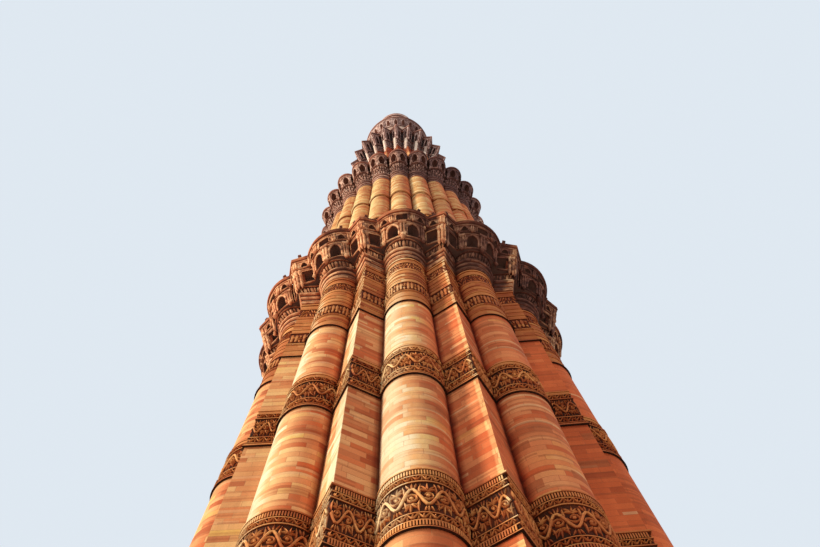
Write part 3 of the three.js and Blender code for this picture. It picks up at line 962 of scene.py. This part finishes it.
def carved_band(name, plan, wall, rows, relief=0.05, shade=0.97, gap=None):
    piece = Piece()
    low, high = levels(name)
    # Each row has its level, how far it stands out and its painted shade: full at the foot and on the
    # undercut, a dark line under the band, and the band's shade on the carved ground.
    profile, carved = [(low, 0, 1)], []
    for kind, foot, head in filled(rows, low, high):
        quarter = (head - foot) / 4
        if foot == low and kind == "edge":
            profile += [(foot, UNDERCUT, 1), (foot + 0.006, UNDERCUT, 0.5), (foot + quarter, UNDERCUT, 0),
                        (head - quarter, RAISED[kind], 0), (head, RAISED[kind] * 0.6, 0.3)]
        elif kind in RAISED:
            out = RAISED[kind]
            profile += [(foot, out * 0.6, 0.8), (foot + quarter / 2, out, 0.1), (head - quarter, out, 0),
                        (head, out * 0.7, 0.3)]
        elif kind in PLAIN_ROW_DARKNESS:
            profile += [(level, SKIN, darkening) for level, darkening in zip((foot, head), PLAIN_ROW_DARKNESS[kind])]
        else:
            profile += [(foot, GROUND, shade), (head, GROUND, shade)]
            carved.append((*ORNAMENT[kind](head - foot, relief), foot))
    piece.skin(plan, wall, [*profile, (high, 0, 0.5)])
    for tiles, spacing, foot in carved:
        piece.row(plan, wall, tiles, spacing, foot, GROUND)
    if gap:
        piece.clear(gap, levels("plinth")[1])
    piece.make(name + "_carving", CARVED, name)


STRONG_ROWS = ("edge 0.06 dentils 0.15 line 0.03 vine 0.17 line 0.03 scrolls 0.88 line 0.04 vine 0.15 "
               "line 0.03 dentils 0.15 round 0.06")
SCROLL_ROWS = ("edge 0.09 plain 0.06 lip 0.03 vine 0.2 line 0.04 scrolls 0.82 line 0.04 vine 0.18 lip 0.03 "
               "plain 0.12 lip 0.04")
LOOSE_ROWS = SCROLL_ROWS.replace("scrolls", "wide_scrolls")
RIM_ROWS = ("edge 0.1 worn 0.34 lip 0.03 worn 0.36 lip 0.03 worn 0.04 line 0.05 reeds 0.74 line 0.04 "
            "plain 0.24 lip 0.03 plain 0.26")
FAINT_ROWS = ("lip 0.04 plain 0.22 lip 0.03 plain 0.3 lip 0.03 plain 0.16 sprigs 0.56 lip 0.03 plain 0.3 "
              "edge 0.1")
SHORT_ROWS = "edge 0.08 vine 0.2 line 0.04 wide_scrolls 0.66 line 0.04 dentils 0.12 lip 0.05"
LOW_ROWS = "edge 0.08 vine 0.5 lip 0.06"
# Each band's rows, their relief, how much painted shade its ground gets, and any doorway in it
FIRST_BANDS = {
    "base_band": (SHORT_ROWS, 0.05, 0.97, GROUND_GAP),
    "second_band": (LOOSE_ROWS, 0.05, 0.97),
    "third_band": (STRONG_ROWS, 0.052, 0.93),
    "fourth_band": (SCROLL_ROWS, 0.055, 0.93),
    "fifth_band": (RIM_ROWS, 0.04, 0.84),
    "sixth_band": (FAINT_ROWS, 0.03, 0.8),
}
for name, band in FIRST_BANDS.items():
    carved_band(name, FIRST_CARVED, first_wall, *band)
carved_band("second_low_band", ROUND, second_wall, SHORT_ROWS)
carved_band("third_wall_band", ANGULAR, third_wall, SHORT_ROWS, 0.04)
carved_band("fifth_wall_band", CIRCLE, fifth_wall, LOW_ROWS, 0.035)

# Wall faces between the bands. Under a gallery, painted shadow can darken the head of a wall.

ROW_SPACING = 0.9
# How far a gallery's painted shadow reaches down the wall, and how softly it fades.
GALLERY_SHADOW_REACH = 2.0
GALLERY_SHADOW_FADE = 1.4
# A face's edge at a band: how far it is sunk, and its painted shade.
EDGE = (-0.02, 0.3)


def evenly(low, high, spacing):
    return np.linspace(low, high, max(2, round((high - low) / spacing) + 1))


def wall_face(name, plan, wall, nodes, bands, material, gap, deep_shade=0):
    piece = Piece()
    low, high = levels(*nodes)
    edges = [low, *(level for band in bands for level in levels(band)), high]
    for foot, head in zip(edges[::2], edges[1::2]):
        if foot == head:
            continue
        # Painted shade where a span meets a band, deepening into a painted shadow under a gallery.
        under = deep_shade if head == high else 0
        rows = [(level, SKIN, under * smooth((level - head) / GALLERY_SHADOW_FADE + GALLERY_SHADOW_REACH))
                for level in evenly(foot, head, ROW_SPACING)[:-1]]
        rows += [(head - 0.12, SKIN, under), (head, SKIN, max(under, 0.35))]
        piece.skin(plan, wall, [(foot, *EDGE), *rows, (head, *EDGE)])
    piece.clear(gap, low)
    piece.make(name, material)


wall_face("first_storey_face", FIRST, first_wall, ["first_wall_1"], FIRST_BANDS, SANDSTONE, GROUND_GAP)
wall_face("second_storey_face", ROUND, second_wall, ["second_wall"], ["second_low_band"], PALE_STONE,
          UPPER_GAP)
wall_face("third_storey_face", ANGULAR, third_wall, ["third_wall"], ["third_wall_band"], SANDSTONE,
          UPPER_GAP, deep_shade=0.5)
wall_face("fourth_storey_face", CIRCLE, fourth_wall, ["fourth_wall", "fourth_upper_wall"],
          ["fourth_wall_band"], PALE_UPPER, UPPER_GAP)
wall_face("fifth_storey_face", CIRCLE, fifth_wall, ["fifth_wall"], ["fifth_wall_band"], DUSKY, FIFTH_GAP)

# Ring mouldings under the galleries


def raised(level, *rows):
    """Rows of a profile at heights above a level."""
    return [(level + up, out, hollow) for up, out, hollow in rows]


def torus_rows(low, high, out, steps=8, sunk=0):
    """The rows of one rounded ring, with a groove painted in shade on each side of it."""
    return [(low + (high - low) * s, sunk + (out - sunk) * math.sin(math.pi * s) ** 0.7, abs(2 * s - 1) ** 3)
            for s in np.linspace(0, 1, steps + 1)]


def ring_course(node, plan, radius, outs, material):
    piece = Piece()
    low, high = levels(node)
    each = (high - low) / len(outs)
    # The grooves between the rings are painted in full shade.
    rows = [(low, 0, 1)]
    for i, out in enumerate(outs):
        foot, sunk = low + i * each, out * 0.5 * (i > 0)
        rows += raised(foot, (0.01, sunk, 1), (0.14 * each, sunk, 1))
        rows += torus_rows(foot + 0.15 * each, foot + 0.78 * each, out, 6, sunk)
        rows += raised(foot, (0.8 * each, out * 0.6, 1), (0.82 * each, out * 0.8, 0.1),
                       (0.95 * each, out * 0.85, 0), (0.97 * each, out * 0.6, 1))
    piece.course(plan, upright(radius), [*rows, (high, 0.06, 1)])
    piece.make(node + "_moulding", material, node)


ring_course("first_rings", FIRST_MOULDED, 5.16, (0.09, 0.14, 0.2), GALLERY)
ring_course("second_rings", ROUND_MOULDED, 3.97, (0.08, 0.12, 0.16), UPPER_GALLERY)
ring_course("third_rings", ANGULAR, 2.7, (0.08, 0.12), DUSKY)


def ornament_course(node, plan, at_low, at_high, rows, sunk, material):
    """A course with rows of ornament on a deep ground, painted in full shade."""
    piece = Piece()
    wall = straight(at_low, at_high, node)
    low, high = levels(node)
    top = high - 0.03
    piece.course(plan, wall, [(low, -sunk, 1), (top, -sunk, 1), (top, 0, 0.5), (high, 0.01, 0.2)])
    for kind, foot, head in filled(rows, low, top):
        piece.row(plan, wall, *ORNAMENT[kind](head - foot, sunk + 0.03), foot, -sunk)
    piece.make(node + "_carving", material, node)


ornament_course("first_leaf_course", FIRST_MOULDED, 5.25, 5.5, "drops 1", 0.07, GALLERY)
ornament_course("second_leaf_course", ROUND_MOULDED, 4.06, 4.3, "drops 0.34 beads 0.16 drops 0.34", 0.06,
                UPPER_GALLERY)
ornament_course("third_leaf_course", ANGULAR, 2.74, 2.95, "drops 1", 0.05, DUSKY)

# Corner ribs that climb from the third storey's ridges through its rings and leaves

RIB_WIDTH = 0.2
RIB_DEPTH = 0.13
RIB_START = 0.6


def post_ribbon(foot, head, width, depth, across=0):
    """An upright ribbon."""
    return ribbon([(across, foot), (across, max(head, 0) / 2), (across, head)], width, depth)


ribs = Piece()
foot, head = levels("third_rings", "third_leaf_course")
rib = post_ribbon(0, head - foot + RIB_START, RIB_WIDTH, RIB_DEPTH).less_shaded(0.2)
radius = third_rib(levels("third_rings")[1])
for face in ANGULAR_RIBS.faces():
    if face.side < 0:
        beside = face.from_ridge(0.7 * RIB_WIDTH, face.width(radius))
        ribs.lay(face, third_rib, rib, beside, foot - RIB_START)
ribs.make("third_gallery_ribs", RIB_STONE)

# Courses of niches. The cells of a round flute are laid at distances from its middle, those of an angular
# flute at distances from its ridge: each is a tile and its distances.

LEDGE = 0.07
HEAD = 0.09


def niche_course(name, node, plan, at_low, at_high, depth, round_cells, corner_cells, material):
    piece = Piece()
    wall = straight(at_low, at_high, node)
    low, high = levels(node)
    ledge = low + LEDGE
    # The deep ground between the ledge and the head is painted in full shade.
    rows = raised(low, (0, -depth, 1), (0.001, -0.03, 1), (0.03, 0.02, 0), (LEDGE, 0, 0.1),
                  (LEDGE + 0.01, -depth, 1))
    rows += raised(high - HEAD, (-0.01, -depth, 1), (0, 0, 0.5), (0.03, 0.03, 0))
    piece.course(plan, wall, [*rows, (high, 0.02, 0.2)])
    for face in plan.faces():
        width = face.width(wall((low + high) / 2))
        for tile, *distances in (corner_cells if face.side else round_cells):
            for distance in distances:
                piece.lay(face, wall, tile, face.from_ridge(distance, width), ledge + 0.01)
    piece.make(name, material, node)


def cell_height(node):
    low, high = levels(node)
    return high - low - LEDGE - HEAD - 0.01


def pilaster(height, width, pendant):
    """Two ribs side by side, with a drop hanging below them."""
    parts = [post_ribbon(0, height, width * 0.5, width * 0.45, x) for x in (-width * 0.3, width * 0.3)]
    parts.append(box(-width * 0.75, width * 0.75, height * 0.86, height, 0, width * 0.6))
    parts.append(box(-width * 0.65, width * 0.65, 0, height * 0.1, 0, width * 0.5))
    parts.append(leaf((0, 0.1 * pendant), (0, -pendant), width * 1.3, width * 0.8, 0, 6))
    parts.append(bead((0, -0.8 * pendant), width * 0.42, width))
    return joined(parts)


FIRST_DEPTH = 0.34
tall = cell_height("first_niche_course")
large = niche(0.29, tall, 0.235, 0.05, 0.4, 0.74, FIRST_DEPTH - 0.03, 0.075)
corner_niche = niche(0.27, tall, 0.235, 0.03, 0.62, 0.73, FIRST_DEPTH - 0.03, 0.04, SQUARE)
post = box(-0.13, 0.13, 0, tall, -FIRST_DEPTH + 0.02, 0.01)
lobe_post = joined([post, pilaster(tall, 0.17, 0.3).moved(out=0.01)]).moved(out=0.02)
side_post = joined([post, pilaster(tall, 0.13, 0.18).moved(out=0.01)])
ridge_rib = joined([post_ribbon(-0.1, tall, 0.09, 0.09), leaf((0, 0), (0, -0.34), 0.14, 0.1, 0, 6),
                    bead((0, tall * 0.5), 0.06, 0.11), leaf((0, tall * 0.98), (0, tall * 0.55), 0.14, 0.12)])
niche_course("first_niches", "first_niche_course", NICHE, 5.55, 5.8, FIRST_DEPTH,
             [(large, -0.37, 0.37), (lobe_post, 0), (side_post, -0.74, 0.74)],
             [(corner_niche, 0.45), (post, 0.1), (ridge_rib, 0.035, 0.17)], GALLERY)

tall = cell_height("first_upper_niches")
small = niche(0.2, tall, 0.14, 0.02, 0.13, 0.29, 0.2, 0.04, STEPPED)
middle_niche = niche(0.3, tall, 0.23, 0, 0.12, 0.31, 0.2, 0.045, SQUARE)
post = joined([box(-0.13, 0.13, 0, tall, -0.21, 0), pilaster(tall, 0.12, 0.1)])
ridge_post = joined([box(-0.14, 0.14, 0, tall, -0.21, 0), ribbon([(0, -0.05), (0, tall)], 0.08, 0.07)])
niche_course("first_small_niches", "first_upper_niches", SLAB, 5.84, 5.98, 0.22,
             [(middle_niche, 0), (small, -0.7, 0.7), (post, -0.98, -0.41, 0.41, 0.98)],
             [(small, 0.42), (ridge_post, 0.1), (post, 0.72)], GALLERY)

tall = cell_height("second_niche_course")
oval = niche(0.23, tall, 0.195, 0.05, 0.45, 0.93, 0.24, foot=0.7).less_shaded(0.85)
post = joined([box(-0.05, 0.05, 0, tall, -0.25, 0), pilaster(tall, 0.085, 0.22)])
niche_course("second_niches", "second_niche_course", ROUND_MOULDED, 4.36, 4.6, 0.26,
             [(oval, -0.26, 0.26), (post.moved(out=0.01), 0), (post, -0.5, 0.5)], [], UPPER_GALLERY)

tall = cell_height("third_niche_course")
slot_niche = niche(0.15, tall, 0.1, 0.12, 0.75, 1.16, 0.18).less_shaded(0.72)
ridge_rib = joined([post_ribbon(-0.12, tall, 0.09, 0.08), leaf((0, 0), (0, -0.3), 0.12, 0.09)])
niche_course("third_niches", "third_niche_course", ANGULAR, 3, 3.42, 0.2, [],
             [(slot_niche, 0.26), (ridge_rib, 0.04), (box(-0.06, 0.06, 0, tall, -0.18, 0), 0.05)], DUSKY)

tall = cell_height("fourth_niche_course")
plain_niche = niche(0.22, tall, 0.15, 0.1, 0.6, 1, 0.16).less_shaded(0.5)
post = joined([box(-0.07, 0.07, 0, tall, -0.17, 0), pilaster(tall, 0.09, 0.16)])
niche_course("fourth_niches", "fourth_niche_course", CIRCLE_MOULDED, 2.1, 2.44, 0.18,
             [(plain_niche, 0), (post, 0.3)], [], DUSKY)


def slab_edge(node, plan, radius, material):
    """A gallery's floor slab with a moulded edge."""
    piece = Piece()
    low, high = levels(node)
    third = (high - low) / 3
    # Painted shade under the slab's edge and in its groove.
    rows = raised(low, (0, -0.1, 0.9), (0.01, -0.03, 0.6), (third, 0, 0.35), (third + 0.02, -0.03, 0.9))
    rows += raised(high, (-third, -0.02, 0.5), (-0.03, 0, 0.2), (0, -0.02, 0))
    piece.course(plan, upright(radius), rows)
    piece.make(node + "_edge", material, node)


slab_edge("first_gallery_slab", SLAB, 6.08, GALLERY)
slab_edge("second_gallery_slab", ROUND_MOULDED, 4.68, UPPER_GALLERY)
slab_edge("third_gallery_slab", ANGULAR, 3.52, DUSKY)
slab_edge("fourth_gallery_slab", CIRCLE_MOULDED, 2.52, DUSKY)

# The tall pale band under the second gallery, in low relief

TALL_BAND_OUT = 0.05
foot, head = levels("second_tall_band")
rows = [(foot, 0, 1), *torus_rows(foot + 0.01, foot + 0.2, 0.1)]
rows += [(level, TALL_BAND_OUT + SKIN, 0) for level in evenly(foot + 0.22, head - 0.12, 0.5)]
tall_band = Piece()
tall_band.skin(ROUND, second_wall, [*rows, (head, 0.06, 0.6)])
for rise in (1.1, 2.6):
    tall_band.row(ROUND, second_wall, *wide_scrolls(0.8, 0.016), foot + rise, TALL_BAND_OUT + 0.005, 0.1)
tall_band.make("second_tall_band_carving", PALE_STONE)

# The dark band of the fourth storey, the roof and the stump on it

# The last number of each row below is its painted shade and grime, darkest in the grooves.
foot, head = levels("fourth_wall_band")
piece = Piece()
rows = raised(foot, (0, -0.02, 0.9), (0.05, 0, 0.1), (0.13, 0, 0), (0.14, -0.04, 0.9))
rows += raised(head, (-0.12, -0.04, 0.9), (-0.11, 0, 0.1), (0, -0.01, 0.2))
piece.course(CIRCLE, fourth_band, rows)
piece.row(CIRCLE, fourth_band, *scrolls(head - foot - 0.26, 0.04), foot + 0.145, -0.04, 0)
piece.make("fourth_wall_band_carving", CARVED, "fourth_wall_band")

foot, head = levels("roof")
roof = upright(1.6)
piece = Piece()
rows = raised(foot, (0, -0.06, 0.9), (0.06, -0.02, 0.2), (0.2, 0, 0), (0.22, -0.05, 0.9))
rows += raised(head, (-0.2, -0.05, 0.6), (-0.18, 0, 0.1), (-0.03, 0, 0), (0, -0.03, 0))
piece.drum(CIRCLE, roof, rows)
piece.row(CIRCLE, roof, *leaves(0.16, 0.05), foot + 0.23, -0.05, 0)
piece.make("roof_edge", DUSKY, "roof")

foot, head = levels("roof_stump")
piece = Piece()
rows = raised(foot, (0, 0, 0.8), (0.16, 0, 0.1), (0.24, -0.1, 0.5), (0.9, -0.12, 0))
rows += raised(head, (-0.7, -0.12, 0.2), (-0.62, -0.02, 0.1), (-0.5, 0, 0), (-0.4, -0.06, 0.4),
               (-0.22, -0.18, 0), (-0.06, -0.42, 0), (0, -0.7, 0))
piece.drum(CIRCLE, upright(0.8), rows)
piece.row(CIRCLE, upright(0.7), *leaves(0.6, 0.05), foot + 0.5, -0.03, 0)
piece.make("roof_stump_top", DUSKY, "roof_stump")

# Doorways on the far side: the reveal through the wall, and a moulded frame round it. Each has its clear
# width and height, the wall that it stands in, the level that its depth is measured at, its front, the
# frame's width and its stone.

DOORS = {
    "ground": (1.1, 2.4, "first_wall_1", 1.5, 7.13, 0.26, SANDSTONE),
    "second": (0.8, 1.9, "second_wall", 30.5, 4.72, 0.16, PALE_STONE),
    "third": (0.8, 1.9, "third_wall", 45.5, 3.27, 0.14, SANDSTONE),
    "fourth": (0.8, 1.9, "fourth_wall", 57.7, 2.33, 0.13, PALE_UPPER),
    "fifth": (0.56, 1.7, "fifth_wall", 65.3, 1.78, 0.11, DUSKY),
}
INSIDE_SHARE = 0.93
FRAME_PALE = 0.3
# The frame's section: a share of its width, its place behind the front, and how much painted shade and grime
# it gets
FRAME_ROWS = ((0, -0.06, 0.2), (0.3, -0.05, 0.7), (0.34, 0, 0), (0.62, 0, 0), (0.66, -0.04, 0.7),
              (0.92, -0.03, 0.1), (1, -0.06, 0.2), (1, -0.5, 0.7))
for name, (width, height, wall, level, front, border, material) in DOORS.items():
    sill = levels(wall)[0]
    # The reveal inside is painted in shade.
    sections = [(0, inside_corner(level) * INSIDE_SHARE, 0.6)]
    sections += [(share, front + out, hollow) for share, out, hollow in FRAME_ROWS]
    points = []
    for share, y, _ in sections:
        side, top = width / 2 + share * border, sill + height + share * border
        points += [(-side, y, sill), (-side, y, top), (0, y, top), (side, y, top), (side, y, sill)]
    points = np.array(points)
    piece = Piece()
    stone_place = np.column_stack([points[:, 0] + points[:, 1], points[:, 2]])
    hollow = np.repeat([hollow for _, _, hollow in sections], 5)
    piece.add(points, [grid_faces(len(sections), 5)[:, ::-1]], stone_place, FRAME_PALE, hollow)
    piece.make(name + "_door_frame", material)

# Short posts on the rim of the first gallery, each a neck and a knob

POST_TALL = 0.32
POST_RADIUS = 6.03
ROUND_POST_SHARE = 0.84
CORNER_POST_SHARE = 0.36
posts = Piece()
# The posts are painted dark, with at least 0.8 of full painted shade and grime.
post = joined([box(-0.03, 0.03, -0.02, POST_TALL, -0.09, -0.03, True),
               box(-0.055, 0.055, POST_TALL, POST_TALL + 0.12, -0.115, -0.005, True)]).shaded_at_least(0.8)
for face in SLAB.faces():
    share = CORNER_POST_SHARE if face.side else ROUND_POST_SHARE
    posts.lay(face, upright(POST_RADIUS), post, share, levels("first_gallery_slab")[1])
posts.make("first_gallery_posts", GALLERY)

# Camera, light and floor

CAMERA_BACK = 15.124
CAMERA_UP = 1.56
FOCAL_PIXELS = 791.85
IMAGE_WIDTH = 820
SENSOR = 36
FARTHEST = 2000
PITCH = math.radians(67.407)
YAW = math.radians(0.83)
ROLL = math.radians(-4.499)
SUN_SIDE = math.radians(73)
SUN_HEIGHT = math.radians(27)
SUN_SPREAD = math.radians(10)
SUN_POWER = 4.4
SUN_COLOUR = (1, 0.92, 0.76)
SKY_POWER = 0.88
SKY_COLOUR = (0.84, 0.92, 1, 1)
FLOOR_REACH = 450
FLOOR_COLOUR = (0.62, 0.61, 0.59)
FLOOR_ROUGHNESS = 0.9

forward = Vector((math.sin(YAW) * math.cos(PITCH), math.cos(YAW) * math.cos(PITCH), math.sin(PITCH)))
level_right = Vector((math.cos(YAW), -math.sin(YAW), 0))
level_up = level_right.cross(forward)
right = math.cos(ROLL) * level_right + math.sin(ROLL) * level_up
up = -math.sin(ROLL) * level_right + math.cos(ROLL) * level_up
camera = placed("camera", bpy.data.cameras.new("camera"))
camera.data.sensor_width = SENSOR
camera.data.lens = SENSOR * FOCAL_PIXELS / IMAGE_WIDTH
camera.data.clip_end = FARTHEST
turn = Matrix((right, up, -forward)).transposed().to_4x4()
camera.matrix_world = Matrix.Translation(Vector((0, -CAMERA_BACK, CAMERA_UP)) * SCALE) @ turn
bpy.context.scene.camera = camera

towards_sun = Vector((-math.sin(SUN_SIDE) * math.cos(SUN_HEIGHT), -math.cos(SUN_SIDE) * math.cos(SUN_HEIGHT),
                      math.sin(SUN_HEIGHT)))
key = placed("key", bpy.data.lights.new("key", "SUN"))
key.data.energy = SUN_POWER
key.data.angle = SUN_SPREAD
key.data.color = SUN_COLOUR
key.rotation_euler = towards_sun.to_track_quat("Z", "Y").to_euler()

world = bpy.data.worlds.new("studio")
world.use_nodes = True
sky = world.node_tree.nodes["Background"]
sky.inputs["Color"].default_value = SKY_COLOUR
sky.inputs["Strength"].default_value = SKY_POWER
bpy.context.scene.world = world
bpy.context.scene.view_settings.view_transform = "Standard"

floor_mesh = bpy.data.meshes.new("floor")
corners = [(x * FLOOR_REACH, y * FLOOR_REACH, 0) for x, y in ((-1, -1), (1, -1), (1, 1), (-1, 1))]
floor_mesh.from_pydata(corners, [], [(0, 1, 2, 3)])
paper = Nodes("paper")
paper.fill(paper.shader, {"Base Color": FLOOR_COLOUR, "Roughness": FLOOR_ROUGHNESS})
floor_mesh.materials.append(paper.material)
floor = placed("floor", floor_mesh)
floor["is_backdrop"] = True

boxes = {"cad_box": cad_box, "visual_box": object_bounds()}
{name: [list(corner) for corner in corners] for name, corners in boxes.items()}
